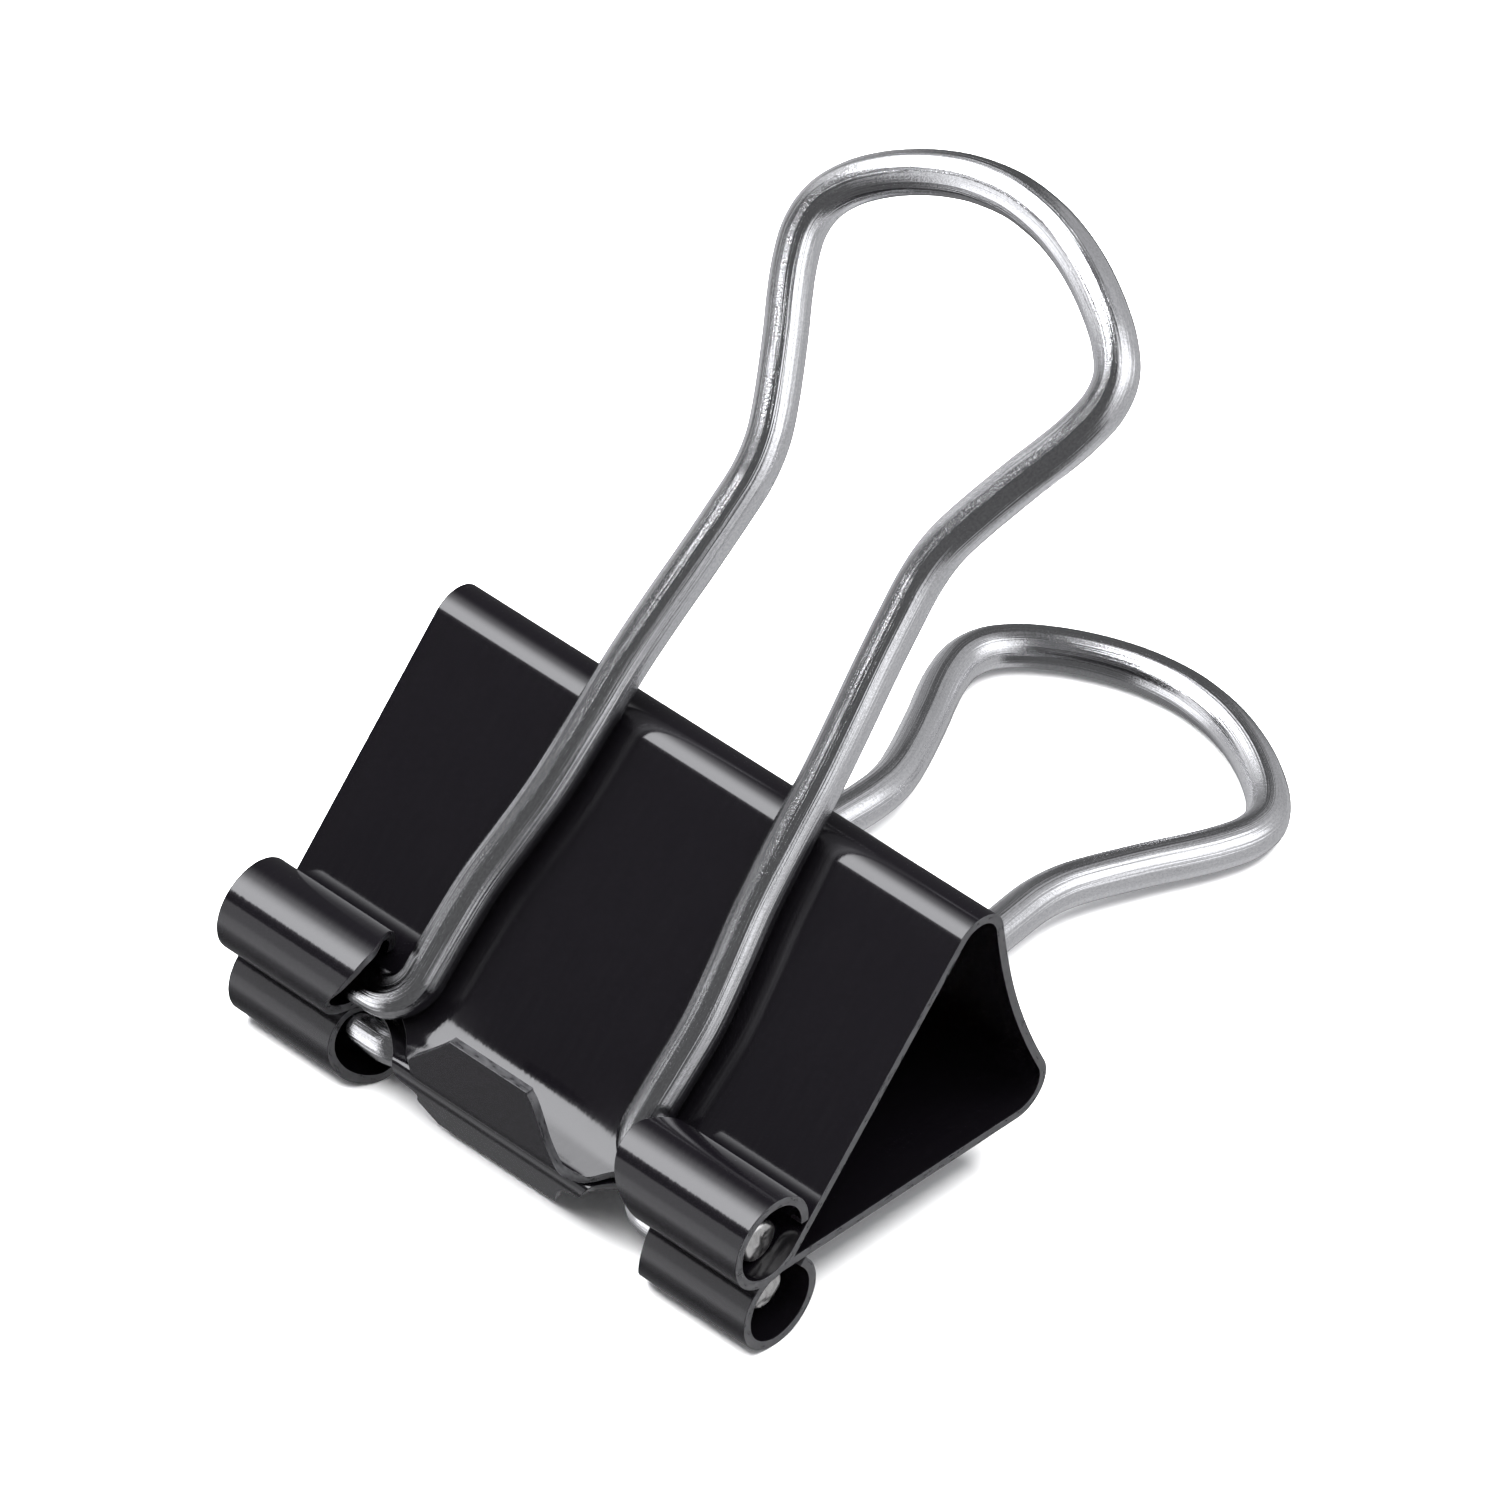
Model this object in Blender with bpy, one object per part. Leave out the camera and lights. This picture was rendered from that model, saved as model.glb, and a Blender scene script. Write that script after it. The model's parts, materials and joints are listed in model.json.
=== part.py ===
"""Small binder clip, 19 mm wide: a folded spring-steel body and two wire handles.

Everything is laid out in the clip's own frame, in millimetres: X across the
width, Y from the lips towards the spine, Z out of the plane between the jaws.
The root empty then tilts the clip so that it lies on its lower barrels and on
the far end of its lower handle, with +Z up.

The body of a real clip is one sheet that flexes at its spine. Here it is two
jaws, split across the middle of the spine, so that it can open on a hinge.
"""

import math

import bmesh
import bpy
from mathutils import Matrix, Vector

MM = 0.001
CURVE_STEPS = 40

# Sheet body
WIDTH = 19.0
SHEET = 0.28
SPINE_GAP = 0.30
SPINE_Y = 8.79
SPINE_SLOPE = 0.058
SPINE_FACETS = 4
UPPER_TUCK = math.radians(12.0)
LOWER_TUCK = math.radians(5.0)
FOLD_Y = 8.37
FOLD_Z = 3.42
FOLD_R = 0.89
EYE_Y = -0.87
EYE_Z = 1.45
EYE_R = 1.27
ROLL_GAP = 0.035
JAW_SHIFT = -0.40
JAW_SKEW = 0.13

# Stop tab between the barrels
BLEND_START = 0.90
BLEND_END = 0.62
UPPER_FLAT = 0.60
LOWER_FLAT = 0.20
TAB_FOLD_R = 0.24
UPPER_TAB_LEAN = 22.5
LOWER_TAB_LEAN = 3.0
UPPER_TAB_PLATE = 1.97
LOWER_TAB_PLATE = 1.85
TAB_CORNER = 0.25
# The tab is this much wider to the left of its middle. The upper one fades out at its end.
TAB_LOPSIDE = 0.75
LOPSIDE_START = 1.6
LOPSIDE_RISE = 0.9
LOPSIDE_FALL = 1.95
# Across the width, the tab's line turns into the barrels' line between these.
SPREAD_START = 3.4
SPREAD = 2.2
SPLIT_LENGTH = 0.9

# Wire handles
WIRE_R = 0.625
WIRE_DROP = 0.46
STUB_END = 8.75
STUB_MIDDLE = 7.0
END_ROUND = 0.09
WIRE_SIDES = 14
BEND_R = 1.0
BEND_FACETS = 8
LEG_START = 4.05
HANDLE_ANGLE = 24.45
HANDLE_BOW = 0.19
BOW_END = 17.0
AXIS_SETBACK = 0.02
LOOP_END = 26.98
UPPER_PLAY = 0.24
LOWER_PLAY = 0.16
# The loops lean to the right, and their left legs stand closer in.
UPPER_SWAY = 0.17
LOWER_SWAY = 0.08
SWAY_RISE = 7.0
SWAY_KEPT = 0.4
SWAY_FALL_START = 24.0
SWAY_FALL = 2.0
LEFT_PINCH = 0.035
PINCH_FALL_START = 17.0
PINCH_FALL = 6.0

# Half outline of the cut blank, as (distance along the sheet, x). The distance
# is zero where the wall runs into the barrel.
SLOT_S = 0.33
SLOT_X = 5.10
TAB_EDGE = [
    (SLOT_S, SLOT_X),
    (0.36, 4.90),
    (0.45, 4.58),
    (0.68, 4.15),
    (0.95, 3.81),
    (1.20, 3.58),
    (1.38, 3.43),
    (1.55, 3.20),
    (1.67, 2.92),
    (1.80, 2.70),
    (2.00, 2.49),
    (2.20, 2.33),
    (2.60, 2.09),
    (3.00, 1.91),
    (3.40, 1.73),
    (3.72, 1.55),
    (3.86, 1.42),
]
BARREL_EDGE = [
    (SLOT_S, SLOT_X),
    (0.36, 5.28),
    (0.45, 5.44),
    (0.80, 5.65),
    (1.40, 5.75),
    (1.90, 5.75),
    (2.40, 5.66),
    (2.80, 5.48),
    (3.08, 5.30),
    (3.44, 5.08),
    (3.81, 4.92),
    (4.08, 4.84),
    (4.40, 4.80),
    (4.85, 4.80),
    (5.10, 4.88),
    (5.37, 5.02),
    (5.72, 5.18),
    (6.20, 5.34),
    (6.70, 5.48),
    (7.20, 5.62),
]
# The lower barrels' inner ends are cut further back, between these lengths.
LOWER_RELIEF = 0.20
RELIEF_START = 2.4
RELIEF_RISE = 1.2
RELIEF_END = 5.0
RELIEF_FALL = 1.5
TINY = 1e-6

# Half outline of a handle, as (x, distance from the hinge axis)
HANDLE_OUTLINE = [
    (LEG_START, 1.00),
    (4.06, 1.70),
    (4.08, 2.60),
    (4.08, 4.10),
    (3.90, 5.80),
    (3.71, 7.40),
    (3.60, 9.50),
    (3.54, 11.20),
    (3.41, 12.80),
    (3.26, 14.30),
    (3.14, 15.80),
    (3.08, 17.00),
    (3.19, 18.00),
    (3.52, 19.00),
    (4.22, 20.62),
    (4.69, 21.60),
    (5.06, 22.47),
    (5.31, 23.40),
    (5.20, 24.27),
    (4.66, 25.04),
    (3.87, 25.69),
    (2.98, 26.22),
    (2.07, 26.61),
    (1.15, 26.86),
    (0.00, LOOP_END),
]


def clear_scene():
    for obj in list(bpy.data.objects):
        bpy.data.objects.remove(obj, do_unlink=True)


def interpolate(table, s):
    """Smooth curve through (s, x) pairs."""
    last = len(table) - 1
    if s <= table[0][0]:
        return table[0][1]
    if s >= table[last][0]:
        return table[last][1]
    i = 0
    while table[i + 1][0] < s:
        i += 1
    s0, x0 = table[i]
    s1, x1 = table[i + 1]
    span = s1 - s0
    slope = (x1 - x0) / span
    before = slope
    after = slope
    if i > 0:
        p = table[i - 1]
        before = 0.5 * (slope + (x0 - p[1]) / (s0 - p[0]))
    if i + 1 < last:
        q = table[i + 2]
        after = 0.5 * (slope + (q[1] - x1) / (q[0] - s1))
    t = (s - s0) / span
    a = (1.0 + 2.0 * t) * (1.0 - t) ** 2
    b = t * (1.0 - t) ** 2
    c = t * t * (3.0 - 2.0 * t)
    d = t * t * (t - 1.0)
    return a * x0 + b * span * before + c * x1 + d * span * after


def smoothstep(t):
    t = min(1.0, max(0.0, t))
    return t * t * (3.0 - 2.0 * t)


def unit(angle):
    return Vector((math.cos(angle), math.sin(angle)))


class Section:
    """The sheet's middle line in the (y, z) plane of the upper jaw.

    at(s, centre) gives the point and the outward normal: along the barrel's
    line, or along the line of the stop tab. Both are the same up to the blend.
    """

    def __init__(self, spine_slope, tuck, flat, tab_lean, tab_plate):
        fold = Vector((FOLD_Y, FOLD_Z))
        eye = Vector((EYE_Y, EYE_Z))
        span = eye - fold
        reach = span.length
        lean = math.asin((FOLD_R + EYE_R) / reach)
        self.wall = math.atan2(-span.y, -span.x) + lean
        self.down = -unit(self.wall)
        self.out = Vector((-math.sin(self.wall), math.cos(self.wall)))
        self.fold = fold
        self.eye = eye
        self.wall_length = math.sqrt(reach**2 - (FOLD_R + EYE_R) ** 2)
        self.touch = eye - EYE_R * self.out
        self.tuck = tuck
        self.arc_length = FOLD_R * (math.pi / 2 + self.wall + tuck)
        start = Vector((SPINE_Y + spine_slope * SPINE_GAP / 2, SPINE_GAP / 2))
        end = fold + FOLD_R * unit(-tuck)
        tangent = Vector((math.sin(tuck), math.cos(tuck)))
        first = Vector((spine_slope, 1.0)).normalized()
        pull = (end - start).length / 3.0
        self.spine = [start, start + pull * first, end - pull * tangent, end]
        self.marks = self.measure(self.spine)
        self.s_fold = -self.wall_length - self.arc_length
        self.s_start = self.s_fold - self.marks[-1][0]
        drop = (EYE_Z - EYE_R - self.touch.y) / self.down.y
        corner = self.touch + drop * self.down
        self.s_blend = drop - BLEND_START
        first = corner - BLEND_START * self.down
        second = corner + Vector((-BLEND_END, 0.0))
        self.blend = [first, corner, corner, second]
        self.blend_marks = self.measure(self.blend)
        self.s_flat = self.s_blend + self.blend_marks[-1][0]
        self.flat_from = second
        self.flat = flat
        self.s_tab_fold = self.s_flat + flat
        self.tab_turn = math.radians(90.0 + tab_lean)
        self.s_plate = self.s_tab_fold + TAB_FOLD_R * self.tab_turn
        self.s_tab_end = self.s_plate + tab_plate
        clear = (EYE_R - SHEET / 2 - ROLL_GAP) / (EYE_R + SHEET / 2)
        self.sweep = 2 * math.pi - math.acos(clear)
        self.s_barrel_end = EYE_R * self.sweep

    @staticmethod
    def curve(points, t):
        a, b, c, d = points
        u = 1.0 - t
        place = u**3 * a + 3 * u * u * t * b + 3 * u * t * t * c + t**3 * d
        along = u * u * (b - a) + 2 * u * t * (c - b) + t * t * (d - c)
        return place, along.normalized()

    def measure(self, points):
        marks = [(0.0, 0.0)]
        last = points[0]
        for i in range(1, CURVE_STEPS + 1):
            place, _ = self.curve(points, i / CURVE_STEPS)
            marks.append((marks[-1][0] + (place - last).length, i / CURVE_STEPS))
            last = place
        return marks

    def on_curve(self, points, marks, length):
        i = 0
        while i + 2 < len(marks) and marks[i + 1][0] < length:
            i += 1
        l0, t0 = marks[i]
        l1, t1 = marks[i + 1]
        return self.curve(points, t0 + (t1 - t0) * (length - l0) / (l1 - l0))

    def at(self, s, centre):
        if s < self.s_fold:
            place, along = self.on_curve(self.spine, self.marks, s - self.s_start)
            return place, Vector((along.y, -along.x))
        if s < -self.wall_length:
            way = unit(-self.tuck + (s - self.s_fold) / FOLD_R)
            return self.fold + FOLD_R * way, way
        if s < self.s_blend or (s < 0.0 and not centre):
            return self.touch + s * self.down, self.out
        if not centre:
            way = unit(self.wall - math.pi / 2 - s / EYE_R)
            return self.eye + EYE_R * way, -way
        if s < self.s_flat:
            length = s - self.s_blend
            place, along = self.on_curve(self.blend, self.blend_marks, length)
            return place, Vector((along.y, -along.x))
        if s < self.s_tab_fold:
            return self.flat_from - Vector((s - self.s_flat, 0.0)), Vector((0.0, 1.0))
        hub = self.flat_from + Vector((-self.flat, TAB_FOLD_R))
        turn = min(s - self.s_tab_fold, TAB_FOLD_R * self.tab_turn) / TAB_FOLD_R
        way = unit(-math.pi / 2 - turn)
        place = hub + TAB_FOLD_R * way
        if s > self.s_plate:
            place = place + (s - self.s_plate) * Vector((way.y, -way.x))
        return place, -way


def row_marks(section):
    """Distances along the sheet at which the mesh has a row of points."""
    rows = []

    def add(first, last, steps):
        for i in range(steps):
            rows.append(first + (last - first) * i / steps)

    add(section.s_start, section.s_fold, SPINE_FACETS)
    add(section.s_fold, -section.wall_length, 9)
    add(-section.wall_length, section.s_blend, 3)
    add(section.s_blend, SLOT_S, 5)
    rows.extend([SLOT_S, 0.36, 0.45, 0.56, 0.68, 0.80])
    corner = section.s_tab_end - TAB_CORNER
    add(0.95, section.s_tab_fold, 4)
    add(section.s_tab_fold, section.s_plate, 5)
    add(section.s_plate, corner, 9)
    add(corner, section.s_tab_end, 3)
    add(section.s_tab_end, section.s_barrel_end, 17)
    rows.append(section.s_barrel_end)
    return rows


CENTRE_COLUMNS = [0.0, 0.25, 0.50, 0.72, 0.88, 1.0]
BARREL_COLUMNS = [0.0, 0.10, 0.25, 1.0]


def tab_half(section, s, side, lower):
    """Half width of the stop tab, to the right (1) or the left (-1) of its middle."""
    half = interpolate(TAB_EDGE, s)
    if side < 0:
        rise = smoothstep((s - LOPSIDE_START) / LOPSIDE_RISE)
        kept = 1.0 if lower else smoothstep((section.s_tab_end - s) / LOPSIDE_FALL)
        half = half + TAB_LOPSIDE * rise * kept
    return half


def sheet_mesh(name, section, relief, lower):
    """One jaw: the blank's grid, bent along the section and given its thickness."""
    half = WIDTH / 2
    rows = row_marks(section)
    sides = []
    for side in (1, -1):
        grid = {}
        for i, s in enumerate(rows):
            lift = relief * smoothstep((s - RELIEF_START) / RELIEF_RISE)
            lift = lift * (1.0 - smoothstep((s - RELIEF_END) / RELIEF_FALL))
            edge = interpolate(BARREL_EDGE, s) + lift
            tab = tab_half(section, s, side, lower)
            for j, f in enumerate(CENTRE_COLUMNS):
                if s <= section.s_tab_end + TINY:
                    grid[("c", i, j)] = (side * f * tab, s)
            for j, f in enumerate(BARREL_COLUMNS):
                grid[("b", i, j)] = (side * (edge + f * (half - edge)), s)
        sides.append(grid)

    outer = []
    inner = []
    index = {}
    drift = -JAW_SKEW if lower else JAW_SKEW

    def vertex(side, key):
        kind, i, j = key
        if kind == "b" and j == 0 and rows[i] <= SLOT_S + TINY:
            key = ("c", i, len(CENTRE_COLUMNS) - 1)
            kind = "c"
        tag = (0 if kind == "c" and key[2] == 0 else side, key)
        if tag in index:
            return index[tag]
        x, s = sides[0 if side > 0 else 1][key]
        near = smoothstep((abs(x) - SPREAD_START) / SPREAD)
        past = smoothstep((s - SLOT_S) / SPLIT_LENGTH)
        share = near * (1.0 - past) if kind == "c" else near + (1.0 - near) * past
        a, na = section.at(s, True)
        b, nb = section.at(s, False)
        if s < section.s_blend:
            share = 1.0
        place = a.lerp(b, share)
        way = na.lerp(nb, share).normalized()
        grow = (s - section.s_start) / -section.s_start
        x = x + drift * min(1.0, max(0.0, grow))
        index[tag] = len(outer)
        for store, w in ((outer, SHEET / 2), (inner, -SHEET / 2)):
            y = place.x + w * way.x
            z = place.y + w * way.y
            if lower:
                store.append(Vector((x, y + JAW_SHIFT * reach(s, section), -z)))
            else:
                store.append(Vector((x, y, z)))
        return index[tag]

    quads = []
    for side in (1, -1):
        for i in range(len(rows) - 1):
            for kind, columns in (("c", CENTRE_COLUMNS), ("b", BARREL_COLUMNS)):
                if kind == "c" and rows[i + 1] > section.s_tab_end + TINY:
                    continue
                for j in range(len(columns) - 1):
                    corners = [(kind, i, j), (kind, i, j + 1)]
                    corners += [(kind, i + 1, j + 1), (kind, i + 1, j)]
                    quad = [vertex(side, c) for c in corners]
                    quads.append(quad if side > 0 else quad[::-1])

    count = len(outer)
    faces = [tuple(q) for q in quads]
    faces += [tuple(v + count for v in q[::-1]) for q in quads]
    used = {}
    for q in quads:
        for a, b in zip(q, q[1:] + q[:1]):
            used[(a, b)] = used.get((a, b), 0) + 1
    for a, b in used:
        if (b, a) not in used:
            faces.append((b, a, a + count, b + count))
    mesh = bpy.data.meshes.new(name)
    mesh.from_pydata([v * MM for v in outer + inner], [], faces)
    return tidy(mesh)


def reach(s, section):
    """How much of the lower jaw's shift applies: none at the spine's middle."""
    return smoothstep((s - section.s_start) / (section.s_fold - section.s_start))


def tidy(mesh):
    work = bmesh.new()
    work.from_mesh(mesh)
    bmesh.ops.recalc_face_normals(work, faces=work.faces)
    if work.calc_volume(signed=True) < 0.0:
        bmesh.ops.reverse_faces(work, faces=work.faces)
    work.to_mesh(mesh)
    work.free()
    for face in mesh.polygons:
        face.use_smooth = True
    mesh.set_sharp_from_angle(angle=math.radians(40.0))
    return mesh


def handle_path(play, sway):
    """Centre line of a handle: x, distance from the axis, and outward bow."""
    half = []
    half.append((STUB_END, 0.0))
    half.append((STUB_MIDDLE, 0.0))
    hub = LEG_START + BEND_R
    for i in range(BEND_FACETS + 1):
        turn = math.radians(90.0 * i / BEND_FACETS)
        half.append((hub - BEND_R * math.sin(turn), BEND_R - BEND_R * math.cos(turn)))
    guide = [Vector(p) for p in HANDLE_OUTLINE]
    mirrored = Vector((-guide[-2].x, guide[-2].y))
    chain = [guide[0] - Vector((0.0, 0.6))] + guide + [mirrored]
    for i in range(1, len(chain) - 2):
        a, b, c, d = chain[i - 1 : i + 3]
        for k in (1, 2, 3):
            t = k / 3.0
            p = b * (2 - 5 * t * t + 3 * t**3) + c * (t + 4 * t * t - 3 * t**3)
            p = p + a * (-t + 2 * t * t - t**3) + d * (t**3 - t * t)
            half.append((0.5 * p.x, 0.5 * p.y))
    full = half + [(-x, v) for x, v in half[-2::-1]]
    path = []
    for x, v in full:
        bow = HANDLE_BOW * math.sin(math.pi * min(v, BOW_END) / BOW_END)
        rise = smoothstep(v / SWAY_RISE)
        kept = 1.0 - (1.0 - SWAY_KEPT) * smoothstep((v - SWAY_FALL_START) / SWAY_FALL)
        if x < 0.0:
            loose = 1.0 - smoothstep((v - PINCH_FALL_START) / PINCH_FALL)
            x = x * (1.0 - LEFT_PINCH * rise * loose)
        path.append(Vector((x + play + sway * rise * kept, v, bow)))
    return path


def wire_mesh(name, path):
    """A round wire along the path, with slightly rounded ends."""
    points = []
    faces = []
    ring = WIRE_SIDES
    count = len(path)
    for i, centre in enumerate(path):
        before = path[max(i - 1, 0)]
        after = path[min(i + 1, count - 1)]
        into = (centre - before).normalized() if i > 0 else None
        on = (after - centre).normalized() if i < count - 1 else None
        along = (into + on).normalized() if into and on else (into or on)
        side = Vector((0.0, 0.0, 1.0))
        side = (side - side.dot(along) * along).normalized()
        third = along.cross(side)
        radii = [WIRE_R]
        shifts = [0.0]
        if i == 0:
            radii = [WIRE_R - END_ROUND, WIRE_R]
            shifts = [0.0, END_ROUND]
        if i == count - 1:
            radii = [WIRE_R, WIRE_R - END_ROUND]
            shifts = [-END_ROUND, 0.0]
        for radius, shift in zip(radii, shifts):
            for k in range(ring):
                turn = 2.0 * math.pi * k / ring
                away = radius * (math.cos(turn) * side + math.sin(turn) * third)
                points.append(centre + shift * along + away)
    rings = len(points) // ring
    for i in range(rings - 1):
        for k in range(ring):
            a = i * ring + k
            b = i * ring + (k + 1) % ring
            faces.append((a, b, b + ring, a + ring))
    faces.append(tuple(range(ring)))
    faces.append(tuple(range((rings - 1) * ring, rings * ring))[::-1])
    mesh = bpy.data.meshes.new(name)
    mesh.from_pydata([p * MM for p in points], [], faces)
    return tidy(mesh)


def material(name, colour, metallic, roughness, coat):
    made = bpy.data.materials.new(name)
    made.use_nodes = True
    shader = made.node_tree.nodes["Principled BSDF"]
    shader.inputs["Base Color"].default_value = (*colour, 1.0)
    shader.inputs["Metallic"].default_value = metallic
    shader.inputs["Roughness"].default_value = roughness
    shader.inputs["Coat Weight"].default_value = coat
    made.diffuse_color = (*colour, 1.0)
    return made


def node(name, mesh, origin, turn, root, look):
    """An object whose mesh is drawn about its own joint axis."""
    obj = bpy.data.objects.new(name, mesh)
    bpy.context.scene.collection.objects.link(obj)
    obj.parent = root
    obj.matrix_local = Matrix.Translation(origin * MM) @ turn
    mesh.materials.append(look)
    return obj


def main():
    clear_scene()
    root = bpy.data.objects.new("binder_clip", None)
    bpy.context.scene.collection.objects.link(root)
    lacquer = material("black_lacquer", (0.012, 0.012, 0.013), 0.0, 0.16, 1.0)
    lacquer_low = material("black_lacquer_lower", (0.013, 0.013, 0.014), 0.0, 0.18, 1.0)
    plated = material("plated_wire", (0.66, 0.65, 0.63), 1.0, 0.24, 0.0)
    plated_low = material("plated_wire_lower", (0.64, 0.63, 0.61), 1.0, 0.26, 0.0)

    upper = Section(SPINE_SLOPE, UPPER_TUCK, UPPER_FLAT, UPPER_TAB_LEAN, UPPER_TAB_PLATE)
    lower = Section(-SPINE_SLOPE, LOWER_TUCK, LOWER_FLAT, LOWER_TAB_LEAN, LOWER_TAB_PLATE)
    hinge = Vector((0.0, SPINE_Y, 0.0))
    keep = Matrix.Identity(4)
    made = []
    for name, section, relief, low, look in (
        ("upper_jaw", upper, 0.0, False, lacquer),
        ("lower_jaw", lower, LOWER_RELIEF, True, lacquer_low),
    ):
        mesh = sheet_mesh(name, section, relief, low)
        mesh.transform(Matrix.Translation(-hinge * MM))
        made.append(node(name, mesh, hinge, keep, root, look))

    # A handle's mesh has its axis along X and its loop along +Y.
    for name, play, sway, low, look in (
        ("upper_handle", UPPER_PLAY, UPPER_SWAY, False, plated),
        ("lower_handle", LOWER_PLAY, LOWER_SWAY, True, plated_low),
    ):
        mesh = wire_mesh(name, handle_path(play, sway))
        axis = Vector((0.0, EYE_Y - AXIS_SETBACK, EYE_Z - WIRE_DROP))
        turn = Matrix.Rotation(math.radians(HANDLE_ANGLE), 4, "X")
        if low:
            axis = Vector((0.0, axis.y + JAW_SHIFT, -axis.z))
            mesh.transform(Matrix.Scale(-1.0, 4, Vector((0.0, 0.0, 1.0))))
            mesh = tidy(mesh)
            turn = Matrix.Rotation(math.radians(-HANDLE_ANGLE), 4, "X")
        made.append(node(name, mesh, axis, turn, root, look))

    # The floor touches the lower barrels and the far end of the lower handle.
    barrel = Vector((EYE_Y + JAW_SHIFT, -EYE_Z))
    swing = math.radians(HANDLE_ANGLE)
    loop = Vector((barrel.x - AXIS_SETBACK, barrel.y + WIRE_DROP))
    loop = loop + LOOP_END * Vector((math.cos(swing), -math.sin(swing)))
    line = loop - barrel
    lift = math.asin((EYE_R + SHEET / 2 - WIRE_R) / line.length)
    tilt = -math.atan2(line.y, line.x) - lift
    root.matrix_world = Matrix.Rotation(tilt, 4, "X")
    bpy.context.view_layer.update()
    corners = []
    for obj in made:
        corners += [obj.matrix_world @ v.co for v in obj.data.vertices]
    low = Vector([min(c[i] for c in corners) for i in range(3)])
    high = Vector([max(c[i] for c in corners) for i in range(3)])
    shift = Vector((-(low.x + high.x) / 2, -(low.y + high.y) / 2, -low.z))
    root.matrix_world = Matrix.Translation(shift) @ Matrix.Rotation(tilt, 4, "X")
    bpy.context.view_layer.update()


main()
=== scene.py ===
"""Looks of the small binder clip: one lacquered spring sheet and two plated wire handles."""

import json
import math

import bmesh
import bpy
from mathutils import Matrix, Vector, noise


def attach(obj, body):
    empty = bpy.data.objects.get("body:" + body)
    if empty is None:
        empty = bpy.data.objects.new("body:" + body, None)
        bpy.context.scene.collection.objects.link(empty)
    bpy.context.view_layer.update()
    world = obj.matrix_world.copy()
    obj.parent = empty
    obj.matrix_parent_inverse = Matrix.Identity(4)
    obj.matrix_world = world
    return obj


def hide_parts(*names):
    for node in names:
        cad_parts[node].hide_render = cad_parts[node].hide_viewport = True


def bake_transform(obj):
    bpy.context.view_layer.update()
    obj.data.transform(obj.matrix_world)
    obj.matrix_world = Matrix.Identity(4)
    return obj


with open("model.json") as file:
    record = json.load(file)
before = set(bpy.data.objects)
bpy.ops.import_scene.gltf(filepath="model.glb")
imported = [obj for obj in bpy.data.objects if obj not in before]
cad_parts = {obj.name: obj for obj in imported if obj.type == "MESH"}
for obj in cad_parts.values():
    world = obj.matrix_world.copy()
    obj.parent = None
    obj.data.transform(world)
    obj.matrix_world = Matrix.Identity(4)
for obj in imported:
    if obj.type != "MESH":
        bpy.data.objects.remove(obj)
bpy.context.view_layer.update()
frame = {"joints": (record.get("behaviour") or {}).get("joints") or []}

MM = 0.001
TINY = 1e-6

# Sheet body, in millimetres, in the clip's own frame: X across the width, Y from
# the lips towards the spine, Z out of the plane between the jaws.
WIDTH = 19.0
SHEET = 0.28
SPINE_Y = 8.79
SPINE_SLOPE = 0.058
UPPER_TUCK = math.radians(12.0)
LOWER_TUCK = math.radians(5.0)
FOLD_Y = 8.37
FOLD_Z = 3.42
FOLD_R = 0.89
EYE_Y = -0.87
EYE_Z = 1.45
EYE_R = 1.27
ROLL_GAP = 0.035
JAW_SHIFT = -0.40
JAW_SKEW = 0.13
EDGE_ROUND = 0.045

# Stop tab between the barrels
BLEND_MIDDLE = 0.46
BLEND_SIDE = 1.75
BLEND_ROUND = 0.6
BLEND_FINE_START = -1.7
BLEND_END = 0.62
TAB_HALF = 3.4
# The tab is this much wider to the left of its middle. The upper one fades out at its end.
TAB_LOPSIDE = 0.75
LOPSIDE_START = 1.6
LOPSIDE_RISE = 0.9
LOPSIDE_FALL = 1.95
TAB_CORNER = 0.33
# Across the width, the tab's line turns into the barrels' line between these.
SPREAD_START = 3.4
SPREAD = 2.2
SPLIT_LENGTH = 0.9
UPPER_FLAT = 0.60
LOWER_FLAT = 0.20
TAB_FOLD_R = 0.24
UPPER_TAB_LEAN = 22.5
LOWER_TAB_LEAN = 3.0
UPPER_TAB_PLATE = 1.97
LOWER_TAB_PLATE = 1.85

# Wire handles
WIRE_R = 0.625
WIRE_DROP = 0.46
STUB_END = 8.75
BEND_R = 1.0
LEG_START = 4.05
HANDLE_ANGLE = 24.45
HANDLE_BOW = 0.19
UPPER_PLAY = 0.24
LOWER_PLAY = 0.16
UPPER_SWAY = 0.17
LOWER_SWAY = 0.08
SWAY_RISE = 7.0
SWAY_LOST = 0.6
SWAY_FALL_START = 24.0
SWAY_FALL = 2.0
LEFT_PINCH = 0.035
PINCH_FALL_START = 17.0
PINCH_FALL = 6.0
BOW_END = 17.0
AXIS_SETBACK = 0.02
WIRE_SIDES = 40
BEND_STEPS = 14

# Half outline of the cut blank: distance along the sheet, then x.
SLOT_S = 0.33
SLOT_X = 5.10
TAB_EDGE = [
    (SLOT_S, SLOT_X), (0.36, 4.90), (0.45, 4.58), (0.68, 4.15), (0.95, 3.81), (1.20, 3.58),
    (1.38, 3.43), (1.55, 3.20), (1.67, 2.92), (1.80, 2.70), (2.00, 2.49), (2.20, 2.33),
    (2.60, 2.09), (3.00, 1.91), (3.40, 1.73), (3.72, 1.55), (3.86, 1.42),
]
BARREL_EDGE = [
    (SLOT_S, SLOT_X), (0.36, 5.28), (0.45, 5.44), (0.80, 5.65), (1.40, 5.75), (1.90, 5.75),
    (2.40, 5.66), (2.80, 5.48), (3.08, 5.30), (3.44, 5.08), (3.81, 4.92), (4.08, 4.84),
    (4.40, 4.80), (4.85, 4.80), (5.10, 4.88), (5.37, 5.02), (5.72, 5.18), (6.20, 5.34),
    (6.70, 5.48), (7.20, 5.62),
]
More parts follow.
